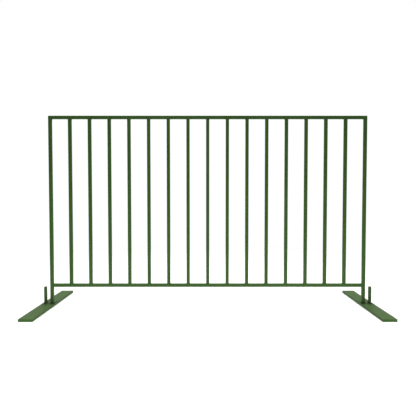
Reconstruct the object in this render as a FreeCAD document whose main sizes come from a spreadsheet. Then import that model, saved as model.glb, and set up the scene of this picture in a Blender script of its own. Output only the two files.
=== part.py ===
import FreeCAD, Part
import math
import os
import re
import Sketcher

# Crowd control barrier: a welded panel of square steel tube that stands on two loose flat feet.
#
# The panel is two end posts, a top rail mitred to them, a bottom rail butted between them and a row of
# vertical pickets at an even pitch. Each foot is a flat steel plate with two upright square spigots. The
# inner spigot stands inside the panel's own post, which is open at its lower end and rests on the plate.
# The outer spigot stands free, for the post of the next panel in the line. The panel lifts straight off.
#
# Frame: millimetres, +X along the panel, +Y towards its back, +Z up. The origin is on the ground, under
# the middle of the panel.

# Driving dimensions: alias, value in millimetres (or a count), what it is.
DIMENSIONS = [
    ("panel_width", 2000.0, "outer width over the two end posts"),
    ("panel_height", 1200.0, "ground to the top of the top rail"),
    ("rail_gap", 120.0, "ground to the underside of the bottom rail"),
    ("picket_count", 15.0, "upright pickets between the end posts"),
    ("tube_side", 20.0, "outer side of the square tube of posts, rails and pickets"),
    ("tube_wall", 1.5, "wall of that tube"),
    ("tube_corner", 3.5, "outer corner radius of that tube"),
    ("spigot_fit", 0.5, "clearance between a spigot and each wall of the post that slips over it"),
    ("spigot_wall", 1.5, "wall of the spigot tube"),
    ("spigot_corner", 2.5, "outer corner radius of the spigot tube"),
    ("spigot_stand", 105.0, "height of a spigot above the plate"),
    ("spigot_spacing", 42.0, "centre distance between the two spigots of a foot"),
    ("spigot_recess", 3.0, "depth of the weld recess under a spigot, in the plate's underside"),
    ("seat_gap", 0.0, "gap between a spigot and the hole that it is welded into"),
    ("plate_length", 650.0, "length of a foot plate, across the panel"),
    ("plate_width", 82.0, "width of a foot plate, along the panel"),
    ("plate_thick", 15.0, "thickness of a foot plate"),
    ("plate_corner", 2.0, "corner radius of a foot plate, seen from above"),
    ("plate_edge", 1.2, "rounding of the plate's top and bottom edges"),
    ("cutter_overrun", 5.0, "how far a mitre cutter runs past the tube"),
]

# Sizes that follow from the driving ones.
PITCH = "(panel_width - tube_side) / (picket_count + 1)"
POST_X = "(panel_width - tube_side) / 2"
POST_LENGTH = "(panel_height - plate_thick)"
PICKET_LENGTH = "panel_height - rail_gap - 2 * tube_side"
SPIGOT_SIDE = "(tube_side - 2 * tube_wall - 2 * spigot_fit)"
SPIGOT_LENGTH = "plate_thick + spigot_stand - spigot_recess"
SEAT_SIDE = "(tube_side - 2 * tube_wall - 2 * spigot_fit + 2 * seat_gap)"
PLATE_X = "(panel_width - tube_side + spigot_spacing) / 2"

OUT = "parts"
LEFT = -1
RIGHT = 1
# Sketcher's name for the sketch's own origin.
ORIGIN = (-1, 1)
START = 1
END = 2
CENTRE = 3


# ---------------------------------------------------------------- the sheet and its formulas

doc = FreeCAD.newDocument("crowd_barrier")
sizes = doc.addObject("Spreadsheet::Sheet", "Sizes")
for row, (alias, value, meaning) in enumerate(DIMENSIONS, start=1):
    sizes.set(f"A{row}", meaning)
    sizes.set(f"B{row}", str(value))
    sizes.setAlias(f"B{row}", alias)
doc.recompute()

ALIASES = re.compile(r"\b(" + "|".join(alias for alias, _, _ in DIMENSIONS) + r")\b")


def formula(text):
    """A formula of aliases, written so that any object of the document can hold it."""
    return ALIASES.sub(r"Sizes.\1", text)


def number(text):
    """What a formula of aliases comes to now."""
    return float(sizes.evalExpression(text))


def bind(thing, prop, text):
    thing.setExpression(prop, formula(text))


# ---------------------------------------------------------------- sketches

def new_body(label):
    body = doc.addObject("PartDesign::Body", label)
    body.Label = label
    return body


def place(body, x_text, z_text):
    """Stands a body's own origin at this place in the middle plane of the panel."""
    bind(body, "Placement.Base.x", x_text)
    bind(body, "Placement.Base.z", z_text)


def sketch_on(body, role, name):
    """A sketch on one of the body's own origin planes."""
    plane = next(f for f in body.Origin.OriginFeatures if f.Role == role)
    sketch = body.newObject("Sketcher::SketchObject", name)
    sketch.AttachmentSupport = (plane, [""])
    sketch.MapMode = "FlatFace"
    return sketch


def constrain(sketch, name, kind, items, text):
    """Adds a named constraint whose value is a formula."""
    index = sketch.addConstraint(Sketcher.Constraint(kind, *items, number(text)))
    sketch.renameConstraint(index, name)
    bind(sketch, "Constraints." + name, text)


def fix_point(sketch, name, point, x_text, y_text):
    """Holds a point at a place measured from the sketch's origin. Each distance is kept positive."""
    for kind, text in (("DistanceX", x_text), ("DistanceY", y_text)):
        items = ORIGIN + point
        if number(text) < 0:
            items = point + ORIGIN
            text = f"-({text})"
        constrain(sketch, name + kind[-1], kind, items, text)


def rounded_rectangle(sketch, name, width, height, corner, centre_x="0"):
    """Four sides and four tangent corner arcs, fully constrained about a centre on the sketch's X axis."""
    mid = number(centre_x)
    radius = number(corner)
    reach_x = number(width) / 2 - radius
    reach_y = number(height) / 2 - radius
    up = FreeCAD.Vector(0, 0, 1)
    lines = []
    arcs = []
    for quarter, (sx, sy) in enumerate(((1, -1), (1, 1), (-1, 1), (-1, -1))):
        # The side that leads into this corner, then the corner.
        middle = FreeCAD.Vector(mid + sx * reach_x, sy * reach_y, 0)
        across = (FreeCAD.Vector(0, -1, 0), FreeCAD.Vector(1, 0, 0),
                  FreeCAD.Vector(0, 1, 0), FreeCAD.Vector(-1, 0, 0))[quarter]
        run = (2 * reach_x, 2 * reach_y)[quarter % 2]
        along = up.cross(across)
        finish = middle + across * radius
        lines.append(sketch.addGeometry(Part.LineSegment(finish - along * run, finish), False))
        circle = Part.Circle(middle, up, radius)
        first = (quarter - 1) * math.pi / 2
        arcs.append(sketch.addGeometry(Part.ArcOfCircle(circle, first, first + math.pi / 2), False))
    for quarter in range(4):
        following = lines[(quarter + 1) % 4]
        sketch.addConstraint(Sketcher.Constraint("Tangent", lines[quarter], END, arcs[quarter], START))
        sketch.addConstraint(Sketcher.Constraint("Tangent", arcs[quarter], END, following, START))
        sketch.addConstraint(Sketcher.Constraint(("Horizontal", "Vertical")[quarter % 2], lines[quarter]))
        if quarter:
            sketch.addConstraint(Sketcher.Constraint("Equal", arcs[0], arcs[quarter]))
    across_pair = (arcs[3], CENTRE, arcs[0], CENTRE)
    up_pair = (arcs[0], CENTRE, arcs[1], CENTRE)
    constrain(sketch, name + "Corner", "Radius", (arcs[0],), corner)
    constrain(sketch, name + "Across", "DistanceX", across_pair, f"{width} - 2 * ({corner})")
    constrain(sketch, name + "Up", "DistanceY", up_pair, f"{height} - 2 * ({corner})")
    if centre_x == "0":
        sketch.addConstraint(Sketcher.Constraint("Symmetric", arcs[3], CENTRE, arcs[1], CENTRE, *ORIGIN))
        return
    point = sketch.addGeometry(Part.Point(FreeCAD.Vector(mid, 0, 0)), True)
    sketch.addConstraint(Sketcher.Constraint("PointOnObject", point, START, -1))
    items = ORIGIN + (point, START)
    text = centre_x
    if mid < 0:
        items = (point, START) + ORIGIN
        text = f"-({centre_x})"
    constrain(sketch, name + "Offset", "DistanceX", items, text)
    sketch.addConstraint(Sketcher.Constraint("Symmetric", arcs[3], CENTRE, arcs[1], CENTRE, point, START))


def triangle(sketch, corners):
    """A closed triangle with every corner held by formulas."""
    points = [FreeCAD.Vector(number(x), number(y), 0) for x, y in corners]
    edges = [sketch.addGeometry(Part.LineSegment(points[i], points[(i + 1) % 3]), False) for i in range(3)]
    for i, (x_text, y_text) in enumerate(corners):
        sketch.addConstraint(Sketcher.Constraint("Coincident", edges[i], END, edges[(i + 1) % 3], START))
        fix_point(sketch, f"Corner{i}", (edges[i], START), x_text, y_text)


# ---------------------------------------------------------------- tubes

def square_tube(label, plane, side, wall, corner, length):
    """A length of square tube from the body's origin, along +Z (XY_Plane) or along +X (YZ_Plane)."""
    body = new_body(label)
    section = sketch_on(body, plane, label + "_section")
    rounded_rectangle(section, "Outer", side, side, corner)
    inner = f"({side} - 2 * {wall})"
    # The inner corner follows the outer one, and stays round on a thick wall.
    rounded_rectangle(section, "Inner", inner, inner, f"max({corner} - {wall}; 0.2 * {wall})")
    pad = body.newObject("PartDesign::Pad", label + "_length")
    pad.Profile = section
    bind(pad, "Length", length)
    doc.recompute()
    return body


def frame_tube(label, plane, length):
    return square_tube(label, plane, "tube_side", "tube_wall", "tube_corner", length)


def mitre(body, name, corners):
    """Cuts a triangle off the tube, right through its depth, and makes sure that something was cut."""
    before = body.Shape.Volume
    outline = sketch_on(body, "XZ_Plane", f"{body.Label}_{name}_outline")
    triangle(outline, corners)
    cut = body.newObject("PartDesign::Pocket", f"{body.Label}_{name}")
    cut.Profile = outline
    cut.SideType = "Symmetric"
    bind(cut, "Length", "tube_side + 2 * cutter_overrun")
    doc.recompute()
    if body.Shape.Volume >= before:
        raise RuntimeError(f"{cut.Name} cut nothing")


def end_post(label, side):
    """A full-height post. Its top is mitred towards the panel, and its lower end is open for the spigot."""
    post = frame_tube(label, "XY_Plane", POST_LENGTH)
    outer = f"{side} * (tube_side / 2 + cutter_overrun)"
    inner = f"{-side} * (tube_side / 2 + cutter_overrun)"
    above = f"{POST_LENGTH} + cutter_overrun"
    below = f"{POST_LENGTH} - tube_side - cutter_overrun"
    mitre(post, "mitre", [(outer, above), (inner, below), (inner, above)])
    place(post, f"{side} * {POST_X}", "plate_thick")
    return post


def top_rail():
    """The full-width rail, mitred at both ends to meet the posts."""
    rail = frame_tube("top_rail", "YZ_Plane", "panel_width")
    above = "tube_side / 2 + cutter_overrun"
    below = "-(tube_side / 2 + cutter_overrun)"
    for name, out, back in (
        ("left_mitre", "-cutter_overrun", "tube_side + cutter_overrun"),
        ("right_mitre", "panel_width + cutter_overrun", "panel_width - tube_side - cutter_overrun"),
    ):
        mitre(rail, name, [(out, above), (back, below), (out, below)])
    place(rail, "-panel_width / 2", "panel_height - tube_side / 2")
    return rail


def bottom_rail():
    """The lower rail, cut square and butted between the two posts."""
    rail = frame_tube("bottom_rail", "YZ_Plane", "panel_width - 2 * tube_side")
    place(rail, "-panel_width / 2 + tube_side", "rail_gap + tube_side / 2")
    return rail


def picket(position):
    """One upright between the rails, counted from the left post."""
    tube = frame_tube(f"picket_{position:02d}", "XY_Plane", PICKET_LENGTH)
    place(tube, f"{position} * {PITCH} - {POST_X}", "rail_gap + tube_side")
    return tube


# ---------------------------------------------------------------- feet

def spigot(label, x_text):
    """A stub of square tube through the plate. It stops short of the underside, for the weld."""
    stub = square_tube(label, "XY_Plane", SPIGOT_SIDE, "spigot_wall", "spigot_corner", SPIGOT_LENGTH)
    place(stub, x_text, "spigot_recess")
    return stub


def outer_rim(shape):
    """Names of the edges round the outside of the plate's two large faces, without the holes' edges."""
    edges = shape.Edges
    names = []
    for face in shape.Faces:
        if abs(face.normalAt(0, 0).z) < 0.99:
            continue
        for edge in face.OuterWire.Edges:
            names.append(f"Edge{next(i for i, e in enumerate(edges, start=1) if e.isSame(edge))}")
    return sorted(set(names))


def foot_plate(label, side):
    """A flat bar with rounded corners and a square hole for each spigot."""
    body = new_body(label)
    outline = sketch_on(body, "XY_Plane", label + "_outline")
    rounded_rectangle(outline, "Edge", "plate_width", "plate_length", "plate_corner")
    for name, centre in (("SeatA", "-spigot_spacing / 2"), ("SeatB", "spigot_spacing / 2")):
        rounded_rectangle(outline, name, SEAT_SIDE, SEAT_SIDE, "spigot_corner + seat_gap", centre)
    pad = body.newObject("PartDesign::Pad", label + "_thickness")
    pad.Profile = outline
    bind(pad, "Length", "plate_thick")
    doc.recompute()
    # A thin plate or a sharp corner limits the rounding of the edges.
    rounding = body.newObject("PartDesign::Fillet", label + "_edges")
    rounding.Base = (pad, outer_rim(pad.Shape))
    bind(rounding, "Radius", "min(plate_edge; 0.4 * plate_thick; 0.8 * plate_corner)")
    doc.recompute()
    if body.Shape.Volume >= pad.Shape.Volume:
        raise RuntimeError(f"{rounding.Name} rounded nothing")
    place(body, f"{side} * {PLATE_X}", "0")
    return body


def foot(name, side):
    """One loose foot: its plate, the spigot under the panel's post and the spigot for the next panel."""
    return [
        foot_plate(f"foot_plate_{name}", side),
        spigot(f"inner_spigot_{name}", f"{side} * {POST_X}"),
        spigot(f"outer_spigot_{name}", f"{side} * ({POST_X} + spigot_spacing)"),
    ]


# ---------------------------------------------------------------- build, check and write

parts = [end_post("post_left", LEFT), end_post("post_right", RIGHT), top_rail(), bottom_rail()]
parts += [picket(position) for position in range(1, int(number("picket_count")) + 1)]
parts += foot("left", LEFT)
parts += foot("right", RIGHT)
doc.recompute()

for item in doc.Objects:
    if "Invalid" in item.State or "Error" in item.State:
        raise RuntimeError(f"{item.Name} failed: {item.State}")
for part in parts:
    if part.Shape.isNull() or not part.Shape.isValid() or len(part.Shape.Solids) != 1:
        raise RuntimeError(f"{part.Label} is not one sound solid")

os.makedirs(OUT, exist_ok=True)
for part in parts:
    part.Shape.exportStep(os.path.join(OUT, part.Label + ".step"))
    box = part.Shape.BoundBox
    print(f"{part.Label}: x {box.XMin:.2f} to {box.XMax:.2f}, y {box.YMin:.2f} to {box.YMax:.2f}, "
          f"z {box.ZMin:.2f} to {box.ZMax:.2f}, {part.Shape.Volume / 1000:.2f} cm3")
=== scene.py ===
# %% [markdown]
# # A crowd control barrier in green powder coat
# The barrier is a welded panel of 20 mm square steel tube that stands on two loose flat feet. The packed
# CAD model holds every tube, plate and spigot at its real size, so nothing here moves or resizes them.
# What this lesson adds is the finish: the weld beads that hold the panel together, a coat of paint that
# behaves like a real one, and a pale studio to see it in.

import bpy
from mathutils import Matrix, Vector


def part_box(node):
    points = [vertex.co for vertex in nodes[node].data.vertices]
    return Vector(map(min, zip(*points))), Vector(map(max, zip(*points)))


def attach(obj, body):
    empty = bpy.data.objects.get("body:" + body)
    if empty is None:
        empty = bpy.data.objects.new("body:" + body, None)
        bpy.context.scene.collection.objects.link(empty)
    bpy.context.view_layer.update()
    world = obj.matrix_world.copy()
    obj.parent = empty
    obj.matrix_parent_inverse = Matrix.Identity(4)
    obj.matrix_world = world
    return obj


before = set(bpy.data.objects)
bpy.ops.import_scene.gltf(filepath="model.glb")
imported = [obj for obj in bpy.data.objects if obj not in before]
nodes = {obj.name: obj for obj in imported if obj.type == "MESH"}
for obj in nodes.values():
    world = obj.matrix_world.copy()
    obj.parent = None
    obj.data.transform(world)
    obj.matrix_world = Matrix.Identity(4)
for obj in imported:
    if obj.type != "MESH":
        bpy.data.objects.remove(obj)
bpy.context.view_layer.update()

# %% [markdown]
# ## Units and the sizes that the steel gives us
# Blender works in metres and a workshop in millimetres, so one factor turns one into the other. The tube's
# side is read from the frame, and only what a box can't tell, the corner radius and the wall, is repeated
# here from the drawing.

# %% Units and steel sizes
import math

import bpy
import numpy as np
from mathutils import Vector

MM = 0.001
TUBE_CORNER = 3.5 * MM
TUBE_WALL = 1.5 * MM
SPIGOT_CORNER = 2.5 * MM
SPIGOT_WALL = 1.5 * MM


def middle(node):
    """The centre of a CAD node's box."""
    low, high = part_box(node)
    return (low + high) / 2


def size(node):
    """The three sides of a CAD node's box."""
    low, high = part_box(node)
    return high - low


pickets = sorted(name for name in nodes if name.startswith("picket_"))
sides = ("left", "right")
tube_side = size(pickets[0]).x
spigot_side = size("outer_spigot_left").x
plate_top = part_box("foot_plate_left")[1].z
print(len(pickets), "pickets of", round(tube_side / MM, 2), "mm tube")

# %% [markdown]
# ## The camera and the studio
# The eye is 0.7 m above the ground and about 2.4 m in front of the panel, looking very slightly down
# through a moderately wide lens. It comes first, because every later choice is judged through it. The
# Standard view transform shows a colour as it is, where a film-like one would grey the white background.

# %% Camera
EYE = Vector((0.002, -2.443, 0.700))
EYE_PITCH = math.radians(-1.845)
LENS_MM = 33.43
SENSOR_MM = 36.0

camera = bpy.data.objects.new("camera", bpy.data.cameras.new("camera"))
camera.data.sensor_width = SENSOR_MM
camera.data.lens = LENS_MM
camera.location = EYE
camera.rotation_euler = (math.radians(90) + EYE_PITCH, 0, 0)
bpy.context.scene.collection.objects.link(camera)
bpy.context.scene.camera = camera
bpy.context.scene.view_settings.view_transform = "Standard"
print("eye", [round(value, 3) for value in EYE], "lens", LENS_MM, "mm")

# %% [markdown]
# ## Helpers for materials
# A material in Blender is a tree of small nodes. One function adds a node, sets it up and links it, and four
# more are short names for the nodes that come again and again: a smooth step, a mix, a sum and a noise. So
# each material below reads from top to bottom like a recipe. Paint makers give colours as sRGB hex values,
# and the renderer needs them linear, so one function converts them.

# %% Node and colour helpers
def srgb(code):
    """Linear RGBA of an sRGB hex colour. Each channel is put through the sRGB curve: a short straight piece
    near black, and a power of 2.4 above it."""
    parts = [int(code[i:i + 2], 16) / 255 for i in (1, 3, 5)]
    return [c / 12.92 if c <= 0.04045 else ((c + 0.055) / 1.055) ** 2.4 for c in parts] + [1.0]


def add(tree, kind, settings=None, **inputs):
    """Adds one node of this kind to a tree. Settings are the node's own options. Each input is named after
    its socket, or i0, i1 ... by its place, and takes a value or another node's output to link."""
    node = tree.nodes.new("ShaderNode" + kind)
    for key, value in (settings or {}).items():
        setattr(node, key, value)
    for key, value in inputs.items():
        socket = node.inputs[int(key[1:])] if key[1:].isdigit() else node.inputs[key.replace("_", " ")]
        if isinstance(value, bpy.types.NodeSocket):
            tree.links.new(value, socket)
        else:
            socket.default_value = value
    return node


def new_material(name):
    """A material with an empty tree, and that tree."""
    material = bpy.data.materials.new(name)
    material.use_nodes = True
    material.node_tree.nodes.clear()
    return material, material.node_tree


def ramp(tree, factor, low, high, to_low=0.0, to_high=1.0):
    """A smooth step: to_low where factor is under low, to_high where it is over high, and between them a
    soft S curve. Where low is the larger of the two, the step runs the other way."""
    node = add(tree, "MapRange", {"interpolation_type": "SMOOTHSTEP"}, Value=factor,
               From_Min=low, From_Max=high, To_Min=to_low, To_Max=to_high)
    return node.outputs[0]


def blend(tree, factor, first, second):
    """Mixes two colours by a factor."""
    node = add(tree, "Mix", {"data_type": "RGBA"}, i0=factor, i6=first, i7=second)
    return node.outputs[2]


def maths(tree, operation, first, second=0.0, third=0.0):
    """One sum, named as Blender names it. MULTIPLY_ADD is the first times the second, plus the third."""
    return add(tree, "Math", {"operation": operation}, i0=first, i1=second, i2=third).outputs[0]


def noise(tree, where, grain, detail=2.0, roughness=0.5, distortion=0.0):
    """Soft random blotches about as large as grain, given in metres."""
    node = add(tree, "TexNoise", {"noise_dimensions": "3D"}, Vector=where, Scale=1.0 / grain,
               Detail=detail, Roughness=roughness, Distortion=distortion)
    return node.outputs["Fac"]


print("half of the sRGB scale is", round(srgb("#808080")[0], 3), "in linear light")

# %% [markdown]
# ## Finish 1: polyester powder coat on steel tube
# The panel is sprayed with dry green powder after welding and baked, so the powder melts into one skin
# about 0.08 mm thick. To the eye it is a dielectric: an even green under a soft, rather broad highlight.
# Four things give it away as baked powder and not wet paint or plastic:
# - orange peel, a ripple 1 to 2 mm from crest to crest, because the powder never levels completely. It is
#   drawn a little coarser and deeper than that, or it would be lost;
# - long soft bands along a tube, one for each pass of the spray gun, where the film is thinner or thicker;
# - thin corners, because the melt pulls back from them, so they are where it wears through first;
# - a little dust on everything that faces up.
# An image texture could hold all this, but it would blur up close. Noise worked out from Object coordinates,
# which here are real metres, stays sharp at any distance, and a scale in it is a real size.

# %% The film of powder coat
COAT_GREEN = srgb("#345420")
COAT_THIN = srgb("#3B5D27")
COAT_DEEP = srgb("#2E4C1C")
COAT_PRIMER = srgb("#7E8679")
SPRAY_BAND = 11 * MM
SPRAY_STRETCH = 14.0
SHADE_LENGTH = 260 * MM
ORANGE_PEEL = 2.6 * MM
PEEL_DEPTH = 0.12 * MM
CHIP = 5 * MM
# A chip is a pit this many times as deep as the ripple of the peel.
CHIP_DEPTH = 1.5
COAT_IOR = 1.45


def position(tree):
    """The surface point in metres, as a vector and as its x, y and z, and the surface normal likewise."""
    where = add(tree, "TexCoord").outputs
    return (where["Object"], add(tree, "SeparateXYZ", Vector=where["Object"]).outputs,
            where["Normal"], add(tree, "SeparateXYZ", Vector=where["Normal"]).outputs)


def corner_mask(tree, normal):
    """1 on a rounded corner and 0 on a flat face. Every flat face here looks along X, Y or Z, so the
    largest of the normal's three shares is 1 on a face and falls to 0.71 in the middle of a corner."""
    shares = add(tree, "VectorMath", {"operation": "ABSOLUTE"}, i0=normal).outputs[0]
    parts = add(tree, "SeparateXYZ", Vector=shares).outputs
    largest = maths(tree, "MAXIMUM", maths(tree, "MAXIMUM", parts[0], parts[1]), parts[2])
    return ramp(tree, largest, 0.995, 0.80)


def baked_film(tree, spot, corner, wear, along):
    """Colour, thinness and height of the baked film. Four noises are mixed: a slow one for the shade, one
    stretched along the tube for the gun's passes, a fine one for the orange peel, and one that chips the
    corners down to primer."""
    scale = [1.0 / SPRAY_STRETCH if a else 1.0 for a in along]
    passes = add(tree, "Mapping", Vector=spot, Scale=scale).outputs[0]
    band = noise(tree, passes, SPRAY_BAND, detail=3.0, roughness=0.55)
    shade = noise(tree, spot, SHADE_LENGTH, detail=3.0)
    colour = blend(tree, ramp(tree, shade, 0.30, 0.70), COAT_DEEP, COAT_GREEN)
    colour = blend(tree, ramp(tree, band, 0.42, 0.72, to_high=0.35), colour, COAT_THIN)
    colour = blend(tree, maths(tree, "MULTIPLY", corner, 0.15), colour, COAT_THIN)
    peel = noise(tree, spot, ORANGE_PEEL, detail=1.5)
    colour = blend(tree, ramp(tree, peel, 0.35, 0.65, to_high=0.18), colour, COAT_THIN)
    chip = ramp(tree, noise(tree, spot, CHIP, detail=6.0, roughness=0.65), 0.665, 0.685)
    chip = maths(tree, "MULTIPLY", maths(tree, "MULTIPLY", chip, corner), wear)
    colour = blend(tree, chip, colour, COAT_PRIMER)
    return colour, band, maths(tree, "SUBTRACT", peel, maths(tree, "MULTIPLY", chip, CHIP_DEPTH))


def coat_shader(tree, colour, roughness, relief, specular):
    """Ends a coat's tree: colour, gloss and relief go into one shader for a dielectric. What is the same all
    over the coat, its specular level and IOR, is set on the shader's own sockets."""
    bump = add(tree, "Bump", Strength=1.0, Distance=PEEL_DEPTH, Height=relief).outputs[0]
    shader = add(tree, "BsdfPrincipled", Base_Color=colour, Roughness=roughness, Normal=bump)
    shader.inputs["Specular IOR Level"].default_value = specular
    shader.inputs["IOR"].default_value = COAT_IOR
    add(tree, "OutputMaterial", Surface=shader.outputs[0])


print("spray bands", SPRAY_BAND / MM, "mm wide, orange peel", ORANGE_PEEL / MM, "mm")

# %% [markdown]
# ## Dust, grime and painted shade
# Dust is pale and lies on whatever faces up. Where an upright stands on its plate the colour is darker: a
# dark line right in the corner, partly the wet dirt that gathers there and partly painted contact shade, and
# a faint painted shade, like an occlusion shadow, that reaches a few centimetres further, both on the plate
# and up the tube. Every upright's place is known from the frame, so the distance to it is a short formula,
# and a ragged noise keeps it from looking like a drawn ring.

# %% Dust, grime and painted shade
DUST = srgb("#A9AB98")
# This dark colour is both grime and painted contact shade at the foot of an upright.
GRIME_AND_SHADE = srgb("#1A2112")
DUST_BLOTCH = 30 * MM
GRIME_AND_SHADE_REACH = 11 * MM
GRIME_AND_SHADE_RAGGED = 11 * MM
GRIME_AND_SHADE_SHARE = 0.95
# The faint stain is painted shade, an occlusion shadow round the foot of an upright.
STAIN_AND_SHADE_REACH = 52 * MM
STAIN_AND_SHADE_SHARE = 0.42
# In shares of the reach: how far the noise moves an edge, and where the edge starts and is full.
RAGGED_SHIFT = 1.6
EDGE_START = 0.30
EDGE_FULL = -0.75
# Where dust or grime lies thick, the surface is duller by this much roughness.
DUST_DULLS = 0.35
GRIME_DULLS = 0.25
post_x = middle("post_right").x
free_spigot_x = middle("outer_spigot_right").x


def dusting(tree, spot, up, amount):
    """How much dust lies here: amount where the face looks up, in soft blotches of about 30 mm."""
    upward = ramp(tree, up, 0.35, 0.95)
    blotches = noise(tree, spot, DUST_BLOTCH, detail=6.0, roughness=0.7)
    settled = ramp(tree, blotches, 0.25, 0.75, to_low=0.35)
    return maths(tree, "MULTIPLY", maths(tree, "MULTIPLY", upward, settled), amount)


def outside_of(tree, parts, centre_x, half):
    """Distance from a square upright of this half side, on either foot: how far the point is past the half
    side across and past it in depth, as the two sides of a right triangle. It is 0 inside the upright."""
    across = maths(tree, "ABSOLUTE", maths(tree, "SUBTRACT", maths(tree, "ABSOLUTE", parts[0]), centre_x))
    past_x = maths(tree, "MAXIMUM", maths(tree, "SUBTRACT", across, half), 0.0)
    past_y = maths(tree, "MAXIMUM", maths(tree, "SUBTRACT", maths(tree, "ABSOLUTE", parts[1]), half), 0.0)
    squares = maths(tree, "MULTIPLY_ADD", past_x, past_x, maths(tree, "MULTIPLY", past_y, past_y))
    return maths(tree, "SQRT", squares)


def grime_and_shade_mask(tree, spot, distance):
    """Grime and painted shade by distance from the corner where an upright stands: the larger of the dark
    line, partly dirt and partly painted contact shade, and the faint stain, which is painted shade. A noise,
    times the reach, is taken off the distance, so it moves each edge in and out."""
    ragged = noise(tree, spot, GRIME_AND_SHADE_RAGGED, detail=5.0, roughness=0.65)
    masks = []
    for reach, most in ((GRIME_AND_SHADE_REACH, GRIME_AND_SHADE_SHARE), (STAIN_AND_SHADE_REACH, STAIN_AND_SHADE_SHARE)):
        moved = maths(tree, "MULTIPLY_ADD", ragged, -RAGGED_SHIFT * reach, distance)
        masks.append(ramp(tree, moved, EDGE_START * reach, EDGE_FULL * reach, to_high=most))
    return maths(tree, "MAXIMUM", masks[0], masks[1])


print("posts at x = +-", round(post_x, 4), "free spigots at +-", round(free_spigot_x, 4))

# %% [markdown]
# ## Open tube ends
# Sprayed powder reaches only a little way into an open tube, because its charge pulls it to the nearest
# metal. So the bore turns from green to bare dark steel about two centimetres in. A mask tells the wall of
# the bore from the outside: a point is in the bore when it isn't outside a square of the bore's size.

# %% Bare steel in a bore
BARE_STEEL = srgb("#2B2A27")
BORE_COATED = 22 * MM
# The bore's wall lies on the edge of the tested square, so the test has some slack.
BORE_SLACK = 0.1 * MM
BORE_END = 1.0
# Share of bare steel at the mouth, where the powder is thin already.
MOUTH_BARE = 0.35


def bare_bore(tree, parts, centre_x, half, depth, colour):
    """The colour with bare steel deep in a bore: 1 in the bore and 0 outside it, times a smooth step of the
    depth. It ends a metre up, below the mitred corners, where the rail's own faces cross the same square."""
    in_bore = maths(tree, "LESS_THAN", outside_of(tree, parts, centre_x, half), BORE_SLACK)
    in_bore = maths(tree, "MULTIPLY", in_bore, maths(tree, "LESS_THAN", depth, BORE_END))
    thinning = ramp(tree, depth, 0.1 * BORE_COATED, BORE_COATED, to_low=MOUTH_BARE)
    return blend(tree, maths(tree, "MULTIPLY", in_bore, thinning), colour, BARE_STEEL)


print("bare steel from", BORE_COATED / MM, "mm into a bore")

# %% [markdown]
# ## Putting the coat together
# The film comes first, then dust, then the bare bore that neither powder nor dust has reached, and grime with
# painted contact shade last. Each layer changes the colour, and dust and grime also take the shine off.
# Uprights and rails need a material each, because the spray gun's passes run along the tube. A bead has the
# same film and no worn corners.

# %% The coat on the tubes
def tube_finish(name, along, wear=0.6, roughness=0.42, specular=0.20, dust=0.08):
    """Powder coat on the panel's tubes: spray passes along the tube, grime and painted shade at a post's
    foot.
    """
    material, tree = new_material(name)
    spot, parts, normal, facing = position(tree)
    corner = corner_mask(tree, normal)
    colour, band, relief = baked_film(tree, spot, corner, wear, along)
    film = dusting(tree, spot, facing[2], dust)
    colour = blend(tree, film, colour, DUST)
    height = maths(tree, "SUBTRACT", parts[2], plate_top)
    colour = bare_bore(tree, parts, post_x, tube_side / 2 - TUBE_WALL, height, colour)
    # Grime with painted contact shade at the foot of a post.
    grime_and_shade = grime_and_shade_mask(tree, spot, height)
    colour = blend(tree, grime_and_shade, colour, GRIME_AND_SHADE)
    gloss = ramp(tree, band, 0.2, 0.8, to_low=roughness - 0.05, to_high=roughness + 0.07)
    gloss = maths(tree, "ADD", gloss, maths(tree, "MULTIPLY", film, DUST_DULLS))
    gloss = maths(tree, "MULTIPLY_ADD", grime_and_shade, GRIME_DULLS, gloss)
    coat_shader(tree, colour, gloss, relief, specular)
    return material


upright_coat = tube_finish("powder_coated_upright_tube", along=(0, 0, 1))
rail_coat = tube_finish("powder_coated_rail_tube", along=(1, 0, 0))
weld_coat = tube_finish("powder_coated_weld_bead", along=(0, 0, 1), wear=0.0, roughness=0.45)
print("nodes in an upright's coat:", len(upright_coat.node_tree.nodes))

# %% [markdown]
# ## Finish 2: the foot plates
# The plates have the same coat, but people step on them and stack them. The flat top is finely scuffed all
# over, so it is greyer and more mottled than the tubes, in patches about as large as a thumb. Grit under a
# shoe leaves thin pale scratches, most of them across the plate, the way that people walk over it. The bar
# itself was hot rolled, so shallow pits show through the coat. Within 5 mm of the rim the top is not scuffed,
# so it stays a deeper green there. The top is still glossy enough, seen at a low angle, to mirror the
# uprights that stand on it as soft dark streaks. The shader does that by itself, and nothing is painted in
# for it.
#
# A scratch is a noise squeezed to a line: one Mapping node turns it and stretches it, and only the highest
# crests of the noise are kept. Two layers at different angles cross each other as real scratches do.

# %% The coat on the plates
plate_low, plate_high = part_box("foot_plate_right")
plate_middle = middle("foot_plate_right")
SCUFF_GREY = srgb("#5C7A41")
SCRATCH_PALE = srgb("#7F8F6E")
SCUFF_PITCH = 3.5 * MM
SCUFF_TURN = math.radians(20)
SCUFF_STRETCH = 0.35
TREAD_PATCH = 22 * MM
SCRATCH_WIDTH = 0.7 * MM
SCRATCH_STRETCH = 40.0
SCRATCH_TURNS = (math.radians(9), math.radians(-38))
# The second layer of scratches starts this far along, so that the two don't share a pattern.
SCRATCH_SHIFT = 0.37
RIM = 5 * MM
PIT = 9 * MM
# Depths are in shares of the ripple of the peel.
PIT_DEPTH = 2.5
SCRATCH_DEPTH = 0.8
FLANK_DULLER = 0.14


def scratches(tree, spot):
    """Thin straight marks: where either layer of stretched noise is near its top, the mask rises to 1."""
    layers = []
    for seed, turn in enumerate(SCRATCH_TURNS):
        line = add(tree, "Mapping", Vector=spot, Location=(0, SCRATCH_SHIFT * seed, 0), Rotation=(0, 0, turn),
                   Scale=(1 / SCRATCH_STRETCH, 1.0, 1.0)).outputs[0]
        layers.append(ramp(tree, noise(tree, line, SCRATCH_WIDTH, detail=1.0), 0.70, 0.78))
    return maths(tree, "MAXIMUM", layers[0], layers[1])


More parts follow.
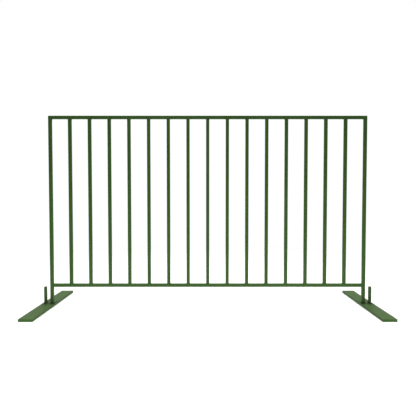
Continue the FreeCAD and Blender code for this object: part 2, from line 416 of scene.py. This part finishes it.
def plate_finish(name, roughness=0.38, specular=0.24, dust=0.035):
    """Powder coat on a plate. The rim is found as the smaller of the two distances to the plate's edges. Fine
    scuff strokes and broad tread patches are multiplied, so the strokes are strong in some places only."""
    material, tree = new_material(name)
    spot, parts, normal, facing = position(tree)
    corner = corner_mask(tree, normal)
    colour, _, relief = baked_film(tree, spot, corner, wear=0.5, along=(0, 1, 0))

    from_middle = maths(tree, "SUBTRACT", maths(tree, "ABSOLUTE", parts[0]), plate_middle.x)
    side = maths(tree, "SUBTRACT", (plate_high.x - plate_low.x) / 2, maths(tree, "ABSOLUTE", from_middle))
    end = maths(tree, "SUBTRACT", plate_high.y, maths(tree, "ABSOLUTE", parts[1]))
    inside_rim = ramp(tree, maths(tree, "MINIMUM", side, end), 0.3 * RIM, RIM)
    top = ramp(tree, facing[2], 0.90, 0.99)

    strokes = add(tree, "Mapping", Vector=spot, Rotation=(0, 0, SCUFF_TURN),
                  Scale=(SCUFF_STRETCH, 1.0, 1.0)).outputs[0]
    scuff = noise(tree, strokes, SCUFF_PITCH, detail=5.0, roughness=0.65, distortion=0.4)
    tread = noise(tree, spot, TREAD_PATCH, detail=3.0, roughness=0.6)
    fine = ramp(tree, scuff, 0.38, 0.66, to_low=0.1, to_high=0.5)
    broad = ramp(tree, tread, 0.36, 0.64, to_low=0.35, to_high=1.5)
    scuffed = maths(tree, "MULTIPLY", fine, broad)
    scuffed = maths(tree, "MULTIPLY", scuffed, maths(tree, "MULTIPLY", top, inside_rim))
    colour = blend(tree, scuffed, colour, SCUFF_GREY)
    scratch = maths(tree, "MULTIPLY", scratches(tree, spot), maths(tree, "MULTIPLY", top, 0.55))
    colour = blend(tree, scratch, colour, SCRATCH_PALE)
    relief = maths(tree, "MULTIPLY_ADD", scratch, -SCRATCH_DEPTH, relief)
    relief = maths(tree, "MULTIPLY_ADD", noise(tree, spot, PIT, detail=2.0), PIT_DEPTH, relief)
    film = dusting(tree, spot, facing[2], dust)
    colour = blend(tree, film, colour, DUST)

    # Grime and painted contact shade round the foot of each post and spigot on the plate's top.
    near = maths(tree, "MINIMUM", outside_of(tree, parts, post_x, tube_side / 2),
                 outside_of(tree, parts, free_spigot_x, spigot_side / 2))
    grime_and_shade = maths(tree, "MULTIPLY", grime_and_shade_mask(tree, spot, near), top)
    colour = blend(tree, grime_and_shade, colour, GRIME_AND_SHADE)
    gloss = ramp(tree, scuff, 0.3, 0.7, to_low=roughness - 0.06, to_high=roughness + 0.10)
    gloss = maths(tree, "ADD", gloss, ramp(tree, tread, 0.36, 0.64, to_low=-0.05, to_high=0.08))
    flank = maths(tree, "SUBTRACT", 1.0, top)
    gloss = maths(tree, "ADD", gloss, maths(tree, "MULTIPLY", flank, FLANK_DULLER))
    gloss = maths(tree, "MULTIPLY_ADD", grime_and_shade, GRIME_DULLS, gloss)
    coat_shader(tree, colour, gloss, relief, specular)
    return material


plate_coat = plate_finish("powder_coated_steel_plate")
print("plate", round((plate_high.x - plate_low.x) / MM), "mm wide, rim", RIM / MM, "mm")

# %% [markdown]
# ## Finish 3: the spigots
# A post slides over a spigot each time the barrier is put up, so fine rub marks run up and down its sides and
# its top edge is the first place to lose its paint. Its bore is bare below the mouth, like a post's.

# %% The coat on the spigots
RUB_WIDTH = 0.9 * MM
RUB_STRETCH = 50.0
RUB_DULLS = 0.25
LIP = 2.0 * MM
LIP_PATCH = 4 * MM
spigot_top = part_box("outer_spigot_right")[1].z


def spigot_finish(name, roughness=0.46, specular=0.20):
    """Powder coat on a spigot. The rub marks are a noise stretched fifty times along the tube, and the lip is
    where the distance down from the top edge is under 2 mm."""
    material, tree = new_material(name)
    spot, parts, normal, _ = position(tree)
    corner = corner_mask(tree, normal)
    colour, band, relief = baked_film(tree, spot, corner, wear=0.8, along=(0, 0, 1))
    streak = add(tree, "Mapping", Vector=spot, Scale=(1.0, 1.0, 1.0 / RUB_STRETCH)).outputs[0]
    rub = ramp(tree, noise(tree, streak, RUB_WIDTH, detail=3.0), 0.52, 0.75, to_high=0.5)
    colour = blend(tree, rub, colour, COAT_THIN)
    depth = maths(tree, "SUBTRACT", spigot_top, parts[2])
    worn = ramp(tree, noise(tree, spot, LIP_PATCH, detail=5.0), 0.52, 0.64, to_high=0.5)
    lip = maths(tree, "MULTIPLY", ramp(tree, depth, LIP, 0.1 * LIP), worn)
    colour = blend(tree, lip, colour, COAT_PRIMER)

    for axis_x in (post_x, free_spigot_x):
        colour = bare_bore(tree, parts, axis_x, spigot_side / 2 - SPIGOT_WALL, depth, colour)
    # Grime with painted contact shade at the foot of the spigot.
    grime_and_shade = grime_and_shade_mask(tree, spot, maths(tree, "SUBTRACT", parts[2], plate_top))
    colour = blend(tree, grime_and_shade, colour, GRIME_AND_SHADE)
    gloss = ramp(tree, band, 0.2, 0.8, to_low=roughness - 0.05, to_high=roughness + 0.07)
    gloss = maths(tree, "MULTIPLY_ADD", rub, RUB_DULLS, gloss)
    gloss = maths(tree, "MULTIPLY_ADD", grime_and_shade, GRIME_DULLS, gloss)
    coat_shader(tree, colour, gloss, relief, specular)
    return material


spigot_coat = spigot_finish("powder_coated_spigot_tube")
print("materials:", [m.name for m in bpy.data.materials])

# %% [markdown]
# ## Painting the parts
# A CAD part keeps its mesh and its place, and only its material slot is filled. The name of a part says which
# finish it has.

# %% Paint the CAD nodes
for name, node in nodes.items():
    if "plate" in name:
        coat = plate_coat
    elif "spigot" in name:
        coat = spigot_coat
    else:
        coat = rail_coat if "rail" in name else upright_coat
    node.data.materials.clear()
    node.data.materials.append(coat)
print("painted", len(nodes), "CAD parts")

# %% [markdown]
# ## Weld beads
# The panel is MIG welded. Where a tube meets another at a right angle, the welder runs one small bead round
# the joint, and each pulse of the torch leaves a curved ripple in it. The bead is a ring, so its surface is
# a function of two numbers: how far round the joint, and how far across the bead.
#
# The receiving tube's corners are round, so on the front and back of the joint there is a groove to fill and
# the bead lies nearly flush there. On the two sides it is a small fillet with legs of about 2 mm.

# %% The outline of a square tube
def rounded_square(side, corner, count):
    """Points and outward normals round a rounded square, evenly spaced along it. The outline is walked
    side, corner, side, corner. On a side the point moves straight, and on a corner it turns about the
    corner's centre, so the normal is the direction from that centre."""
    flat = side - 2 * corner
    arc = corner * math.pi / 2
    step = flat + arc
    along = np.arange(count) / count * 4 * step
    quarter = np.floor(along / step).astype(int)
    rest = along - quarter * step
    turn = np.clip((rest - flat) / arc, 0, 1) * math.pi / 2
    slide = np.clip(rest, 0, flat) - flat / 2
    # In the first quarter the side faces +X and the walk goes towards +Y.
    x = flat / 2 + corner * np.cos(turn)
    y = np.where(rest < flat, slide, flat / 2 + corner * np.sin(turn))
    angle = quarter * math.pi / 2
    cos = np.round(np.cos(angle))
    sin = np.round(np.sin(angle))
    points = np.stack([x * cos - y * sin, x * sin + y * cos], axis=1)
    facing = turn + angle
    normals = np.stack([np.cos(facing), np.sin(facing)], axis=1)
    return points, normals, along


tube_outline = 4 * (tube_side - 2 * TUBE_CORNER) + 2 * math.pi * TUBE_CORNER
print("once round a tube:", round(tube_outline / MM, 1), "mm")

# %% [markdown]
# ## From a grid of points to a surface
# A bead is first a grid of points, enough round the joint to shape its ripples and a few across. The grid
# closes on itself both ways, so the surface has no edge anywhere and has a true inside, as solid steel has.

# %% A mesh from a grid of points
def signed_volume(points, quads):
    """Volume inside a closed surface: each triangle and the origin make a thin pyramid, and the pyramids of
    faces that point outwards add up to the volume. It is negative where the faces point inwards."""
    a, b, c, d = (points[quads[:, i]] for i in range(4))
    return ((a * np.cross(b, c)).sum() + (a * np.cross(c, d)).sum()) / 6


def ring_mesh(name, rings):
    """Joins several closed grids into one mesh. Each grid has shape (round, across, 3) and closes on itself
    both ways, like a doughnut, so its faces are every neighbouring four points. A grid on the left side may
    be the mirror image of one on the right, so a grid whose own volume is negative is turned inside out."""
    vertices = []
    faces = []
    start = 0
    for grid in rings:
        around, across = grid.shape[:2]
        i, j = np.meshgrid(np.arange(around), np.arange(across), indexing="ij")
        i2 = (i + 1) % around
        j2 = (j + 1) % across
        quads = np.stack([i * across + j, i2 * across + j, i2 * across + j2, i * across + j2], axis=-1)
        quads = quads.reshape(-1, 4)
        points = grid.reshape(-1, 3)
        if signed_volume(points - points.mean(axis=0), quads) < 0:
            quads = quads[:, ::-1]
        faces.append(quads + start)
        vertices.append(points)
        start += around * across
    mesh = bpy.data.meshes.new(name)
    mesh.from_pydata(np.concatenate(vertices).tolist(), [], np.concatenate(faces).tolist())
    mesh.shade_smooth()
    piece = bpy.data.objects.new(name, mesh)
    bpy.context.scene.collection.objects.link(piece)
    return piece


unit = np.array([[0, 0, 0], [1, 0, 0], [1, 1, 0], [0, 1, 0], [0, 0, 1], [1, 0, 1], [1, 1, 1], [0, 1, 1]])
cube = np.array([[0, 3, 2, 1], [4, 5, 6, 7], [0, 1, 5, 4], [1, 2, 6, 5], [2, 3, 7, 6], [3, 0, 4, 7]])
print("volume of a unit cube by this formula:", round(float(signed_volume(unit, cube)), 6))

# %% [markdown]
# ## The ripples of a bead
# Each pulse of the arc drops a little steel, which freezes as a crescent before the next one lands. A bump
# map could draw these, but the edge of a bead is seen against the light, so they are real height here.

# %% The ripples of a bead
RIPPLE_PITCH = 1.9 * MM
RIPPLE_BOW = 1.1
RIPPLE_SHARE = 0.45
# About the mean of a crest. It is taken off, so that the ripples don't thicken the bead.
CREST_MEAN = 0.4
# The welder's hand: how many slow waves go round a bead, and how high each one is.
HAND_WAVES = ((2, 0.10), (5, 0.08))


def ripples(along, across, length, seed):
    """How much a bead's height changes along it. Each ripple is a rounded step, |sin| turned upside down,
    and it bows backwards across the bead like a crescent. The pitch is rounded so that the last ripple
    meets the first, and two slow waves with random phases stand for the welder's hand."""
    count = round(length / RIPPLE_PITCH)
    start, *phases = np.random.default_rng(seed).uniform(0, 2 * math.pi, 1 + len(HAND_WAVES))
    bow = RIPPLE_BOW * 4 * across * (1 - across)
    crest = 1 - np.abs(np.sin(math.pi * count * along[:, None] / length + bow[None, :] + start))
    turn = 2 * math.pi * along[:, None] / length
    slow = sum(share * np.sin(waves * turn + phase) for (waves, share), phase in zip(HAND_WAVES, phases))
    return 1 + slow + RIPPLE_SHARE * (crest - CREST_MEAN)


print("ripples round a tube:", round(tube_outline / RIPPLE_PITCH))

# %% [markdown]
# ## The bead round a tube's end
# On the two sides where the end meets a flat face, the bead is a fillet with two equal legs. On the front and
# the back both tubes are flush, so the legs run out and the bead only fills the groove between them.

# %% The bead round a tube end
LEG = 2.2 * MM
BEAD_CROWN = 0.6 * MM
BEAD_ACROSS = 9
BEAD_AROUND = 280
# In the groove the toe on the receiving tube lies this much deeper.
GROOVE_DROP = 0.8 * MM
# And there the leg on the tube's own side is this share of a full one.
FLUSH_LEG = 0.45
# The point that closes the ring lies this far inside the outline, and this far past the tube's end.
CORE_DEPTH = 1.0 * MM
CORE_RISE = 0.5 * MM


def end_bead(centre, towards, along_axis, seed):
    """The bead where a square tube ends against the flank of another one like it. towards points from the
    tube into the other, and along_axis is the way the other one runs. Across the bead a point goes from one
    toe on the tube, a leg short of the joint, to the other toe on the receiving tube, whose face curves away
    at its corners. Between the toes it stands out by a half sine. One more point inside the steel closes
    the ring."""
    towards = np.array(towards, float)
    axis = np.array(along_axis, float)
    depth = np.cross(towards, axis)
    outline, normal, along = rounded_square(tube_side, TUBE_CORNER, BEAD_AROUND)
    length = along[-1] + along[1]
    flat = tube_side / 2 - TUBE_CORNER
    out = np.abs(normal[:, 0])
    # The toe on the receiving tube, in the outline's plane, and how far that tube has curved away there.
    far = outline + np.stack([LEG * normal[:, 0] * out, np.zeros(BEAD_AROUND)], axis=1)
    over = np.clip(np.abs(far[:, 1]) - flat, 0, TUBE_CORNER)
    sunk = TUBE_CORNER - np.sqrt(TUBE_CORNER ** 2 - over ** 2) + GROOVE_DROP * (1 - out)
    near_reach = LEG * (FLUSH_LEG + (1 - FLUSH_LEG) * out)

    across = np.linspace(0, 1, BEAD_ACROSS)
    wave = ripples(along, across, length, seed)
    crown = (BEAD_CROWN * np.sin(math.pi * across))[None, :] * wave
    flat_part = outline[:, None, :] * (1 - across)[None, :, None] + far[:, None, :] * across[None, :, None]
    height = -near_reach[:, None] * (1 - across)[None, :] + sunk[:, None] * across[None, :]
    lean = np.stack([normal[:, 0], normal[:, 1], -out], axis=1)
    lean /= np.linalg.norm(lean, axis=1)[:, None]
    local = np.concatenate([flat_part, height[:, :, None]], axis=2) + lean[:, None, :] * crown[:, :, None]
    core = np.concatenate([outline - normal * CORE_DEPTH, np.full((BEAD_AROUND, 1), CORE_RISE)], axis=1)
    local = np.concatenate([local, core[:, None, :]], axis=1)
    basis = np.stack([axis, depth, towards])
    return local @ basis + np.array(centre, float)


print("points in a bead:", BEAD_AROUND * (BEAD_ACROSS + 1))

# %% [markdown]
# ## Where the beads go
# Every place is read from the frame: a picket's axis, the underside of the top rail and the top of the bottom
# rail. Each bead has a seed of its own, so no two have the same ripples.

# %% Beads at the ends of the pickets
under_top_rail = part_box("top_rail")[0].z
over_bottom_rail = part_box("bottom_rail")[1].z
LOWER_SEED = 50

top_rings = []
bottom_rings = []
for seed, name in enumerate(pickets):
    x = middle(name).x
    top_rings.append(end_bead((x, 0, under_top_rail), (0, 0, 1), (1, 0, 0), seed))
    bottom_rings.append(end_bead((x, 0, over_bottom_rail), (0, 0, -1), (1, 0, 0), LOWER_SEED + seed))
welds = [ring_mesh("picket_top_welds", top_rings), ring_mesh("picket_bottom_welds", bottom_rings)]
print("beads on pickets:", len(top_rings) + len(bottom_rings))

# %% [markdown]
# ## The bottom rail between the posts
# The bottom rail is cut square and butted against the two posts. It is the same joint as a picket's, turned
# on its side, so the same function makes its beads.

# %% Beads at the ends of the bottom rail
RAIL_SEED = 100
low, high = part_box("bottom_rail")
rail_z = (low.z + high.z) / 2
rail_rings = [
    end_bead((low.x, 0, rail_z), (-1, 0, 0), (0, 0, 1), RAIL_SEED),
    end_bead((high.x, 0, rail_z), (1, 0, 0), (0, 0, 1), RAIL_SEED + 1),
]
welds.append(ring_mesh("bottom_rail_welds", rail_rings))
print("bottom rail welded at x =", round(low.x, 4), "and", round(high.x, 4))

# %% [markdown]
# ## The seams of the mitred corners
# At each top corner the post and the rail are cut at 45 degrees and welded all round. The seam follows the
# tube's own outline on the slant. From any point of it, one step down stays on the post and one step inwards
# stays on the rail, whatever side of the tube the point is on, so those two steps are the bead's toes. On the
# outside of the corner the chord between them lies inside the steel, as on a bead that was ground flush.

# %% Mitre seams
SEAM_STEP = 2.2 * MM
SEAM_CROWN = 0.55 * MM
SEAM_SEED = 200
rail_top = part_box("top_rail")[1]


def mitre_seam(side, seed):
    """The bead round one mitre. side is -1 for the left corner and 1 for the right one. The outline's first
    coordinate runs from the inside of the corner to its outside, and moves the point both out and up."""
    outline, normal, along = rounded_square(tube_side, TUBE_CORNER, BEAD_AROUND)
    length = along[-1] + along[1]
    centre = np.array([side * (rail_top.x - tube_side / 2), 0, rail_top.z - tube_side / 2])
    seam = centre + np.stack([side * outline[:, 0], outline[:, 1], outline[:, 0]], axis=1)
    out = np.stack([side * normal[:, 0], normal[:, 1] * math.sqrt(2), normal[:, 0]], axis=1)
    out /= np.linalg.norm(out, axis=1)[:, None]
    across = np.linspace(0, 1, BEAD_ACROSS)
    post_toe = seam + np.array([0, 0, -SEAM_STEP])
    rail_toe = seam + np.array([-side * SEAM_STEP, 0, 0])
    chord = post_toe[:, None, :] * (1 - across)[None, :, None] + rail_toe[:, None, :] * across[None, :, None]
    crown = (SEAM_CROWN * np.sin(math.pi * across))[None, :] * ripples(along, across, length, seed)
    shown = chord + out[:, None, :] * crown[:, :, None]
    core = (post_toe + rail_toe) / 2 - out * CORE_DEPTH
    return np.concatenate([shown, core[:, None, :]], axis=1)


welds.append(ring_mesh("mitre_seams", [mitre_seam(-1, SEAM_SEED), mitre_seam(1, SEAM_SEED + 1)]))
print("mitred corners at x = +-", round(rail_top.x, 4), "z =", round(rail_top.z, 4))

# %% [markdown]
# ## The welds under the spigots
# Each spigot goes right through its plate and stops 3 mm short of the underside. The welder fills the corner
# between the wall of the hole and the end of the tube from below, so the plate's top stays clear for the
# post.

# %% Spigot welds
# The inner toe is a little past the tube's wall, in shares of the wall.
WELD_INWARD = 1.15
WELD_BULGE = 0.5 * MM
# Height of the outer toe, and how much higher the inner one is, in shares of the recess.
WELD_LOW = 0.30
WELD_RISE = 0.75
# How far the closing point lies in the plate.
WELD_OVERLAP = 0.4 * MM
SPIGOT_SEED = 300


def spigot_weld(spigot, seed):
    """A ring in the recess under a spigot. One toe is on the wall of the hole and the other on the inside of
    the tube's end, and the bead bulges down between them without reaching the ground."""
    foot_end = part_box(spigot)[0].z
    centre = middle(spigot)
    outline, normal, along = rounded_square(spigot_side, SPIGOT_CORNER, BEAD_AROUND // 2)
    length = along[-1] + along[1]
    across = np.linspace(0, 1, BEAD_ACROSS)
    inward = SPIGOT_WALL * WELD_INWARD
    flat_part = outline[:, None, :] - normal[:, None, :] * (inward * across)[None, :, None]
    wave = ripples(along, across, length, seed)
    bulge = (WELD_BULGE * np.sin(math.pi * across))[None, :] * wave
    height = foot_end * (WELD_LOW + WELD_RISE * across)[None, :] - bulge
    local = np.concatenate([flat_part, height[:, :, None]], axis=2)
    core_flat = outline + normal * WELD_OVERLAP
    core = np.concatenate([core_flat, np.full((len(outline), 1), foot_end + CORE_RISE)], axis=1)
    local = np.concatenate([local, core[:, None, :]], axis=1)
    return local + np.array([centre.x, centre.y, 0])


foot_welds = []
for side in sides:
    rings = [
        spigot_weld(f"inner_spigot_{side}", SPIGOT_SEED),
        spigot_weld(f"outer_spigot_{side}", SPIGOT_SEED + 1),
    ]
    foot_welds.append(ring_mesh(f"spigot_welds_{side}", rings))
print("spigot welds:", [piece.name for piece in foot_welds])

# %% [markdown]
# ## Beads that move with their tubes
# A bead is steel on one welded piece, so it rides on the body of that piece: the panel, or one of the feet.
# It was sprayed together with that piece, so it has the same green coat.

# %% Fit the beads to their bodies
for piece in welds:
    piece.data.materials.append(weld_coat)
    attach(piece, "panel")
for piece, side in zip(foot_welds, sides):
    piece.data.materials.append(weld_coat)
    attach(piece, f"{side}_foot")
for piece in welds + foot_welds:
    print(piece.name, len(piece.data.polygons) * 2, "triangles")

# %% [markdown]
# ## The floor
# The floor is a plain pale sheet that fades out into the white around it, so there is no horizon. It lies a
# hair below the ground line, so that it never shares a surface with the plates, and it glows very faintly.

# %% Floor
FLOOR_HALF = 6.0
FLOOR_DROP = 0.2 * MM
FLOOR_GLOW = 0.12
FLOOR_ROUGHNESS = 0.9
FADE_START = 1.5
FADE_END = 3.2

corners = ((-1, -1), (1, -1), (1, 1), (-1, 1))
floor_points = [(x * FLOOR_HALF, y * FLOOR_HALF, -FLOOR_DROP) for x, y in corners]
floor_mesh = bpy.data.meshes.new("studio_floor")
floor_mesh.from_pydata(floor_points, [], [(0, 1, 2, 3)])
floor = bpy.data.objects.new("studio_floor", floor_mesh)
bpy.context.scene.collection.objects.link(floor)
paper, tree = new_material("white_studio_paper")
spot = add(tree, "TexCoord").outputs["Object"]
far = add(tree, "VectorMath", {"operation": "LENGTH"}, i0=spot).outputs["Value"]
matt = add(tree, "BsdfPrincipled", Base_Color=srgb("#F4F4F2"), Roughness=FLOOR_ROUGHNESS,
           Emission_Color=srgb("#FFFFFF"), Emission_Strength=FLOOR_GLOW).outputs[0]
gone = add(tree, "BsdfTransparent").outputs[0]
mixed = add(tree, "MixShader", i0=ramp(tree, far, FADE_START, FADE_END), i1=matt, i2=gone).outputs[0]
add(tree, "OutputMaterial", Surface=mixed)
floor.data.materials.append(paper)
print("the floor fades out from", FADE_START, "to", FADE_END, "m")

# %% [markdown]
# ## The sky
# The sky is soft and white, brighter from above than from the side, so that tops are lighter than fronts. The
# camera sees it as plain white.

# %% Sky
SKY_LOW = 0.14
SKY_HIGH = 0.55
# How far up a direction points, where the sky starts to get brighter and where it is at its brightest.
SKY_START = -0.05
SKY_FULL = 0.5

world = bpy.data.worlds.new("studio")
bpy.context.scene.world = world
world.use_nodes = True
tree = world.node_tree
tree.nodes.clear()
seen = add(tree, "LightPath").outputs["Is Camera Ray"]
upwards = add(tree, "SeparateXYZ", Vector=add(tree, "TexCoord").outputs["Generated"]).outputs[2]
lit = ramp(tree, upwards, SKY_START, SKY_FULL, to_low=SKY_LOW, to_high=SKY_HIGH)
strength = add(tree, "Mix", {"data_type": "FLOAT"}, i0=seen, i2=lit, i3=1.0).outputs[0]
sky = add(tree, "Background", Color=(1, 1, 1, 1), Strength=strength)
add(tree, "OutputWorld", Surface=sky.outputs[0])
print("sky strength from", SKY_LOW, "to", SKY_HIGH)

# %% [markdown]
# ## The lamps
# A large lamp overhead gives the soft shadow under the feet. A long low one in front lifts the lower ends of
# the uprights, which are a little brighter than the upper ones. It only fills, so it has no shadow or
# highlight of its own.

# %% Lamps
def soft_light(name, place, target, width, height, power, shadow=True, glossy=True):
    """A rectangular soft light at a place, aimed at a target."""
    data = bpy.data.lights.new(name, "AREA")
    data.shape = "RECTANGLE"
    data.size = width
    data.size_y = height
    data.energy = power
    data.use_shadow = shadow
    light = bpy.data.objects.new(name, data)
    light.location = place
    light.rotation_euler = (Vector(target) - Vector(place)).to_track_quat("-Z", "Y").to_euler()
    light.visible_camera = False
    light.visible_glossy = glossy
    bpy.context.scene.collection.objects.link(light)


soft_light("overhead", place=(0, 0.3, 3.6), target=(0, 0, 0), width=4.0, height=3.0, power=150)
soft_light("low_front", place=(0, -1.1, 0.12), target=(0, 0, 0.05), width=3.4, height=0.3, power=10,
           shadow=False, glossy=False)
